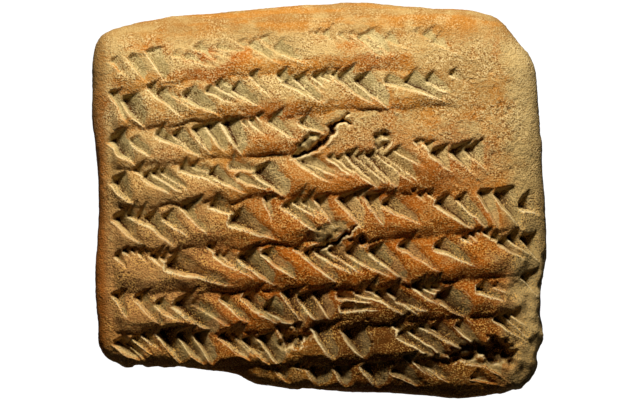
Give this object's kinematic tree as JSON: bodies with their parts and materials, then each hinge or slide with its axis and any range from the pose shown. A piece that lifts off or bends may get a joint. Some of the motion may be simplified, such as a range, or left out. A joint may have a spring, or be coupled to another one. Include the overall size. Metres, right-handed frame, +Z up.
{
  "type": "inscribed clay tablet",
  "caption": "Hand-sized cushion-shaped clay tablet, its upper face covered down to the lower rim in rows of pressed wedge strokes, chipped and cracked, lying on its back.",
  "frame": {"origin": "on the surface the tablet lies on, under the middle of its outline", "axes": "+X along the rows of strokes from left to right, +Y from the lower edge to the upper edge, +Z up out of the inscribed face"},
  "size_m": [0.056, 0.0486, 0.02],
  "materials": {
    "clay": "dry unglazed clay, orange-brown on the raised skin and paler tan inside the strokes, with dark dirt in the deepest ones"
  },
  "bodies": {
    "root": {"tablet": "clay"}
  },
  "joints": []
}
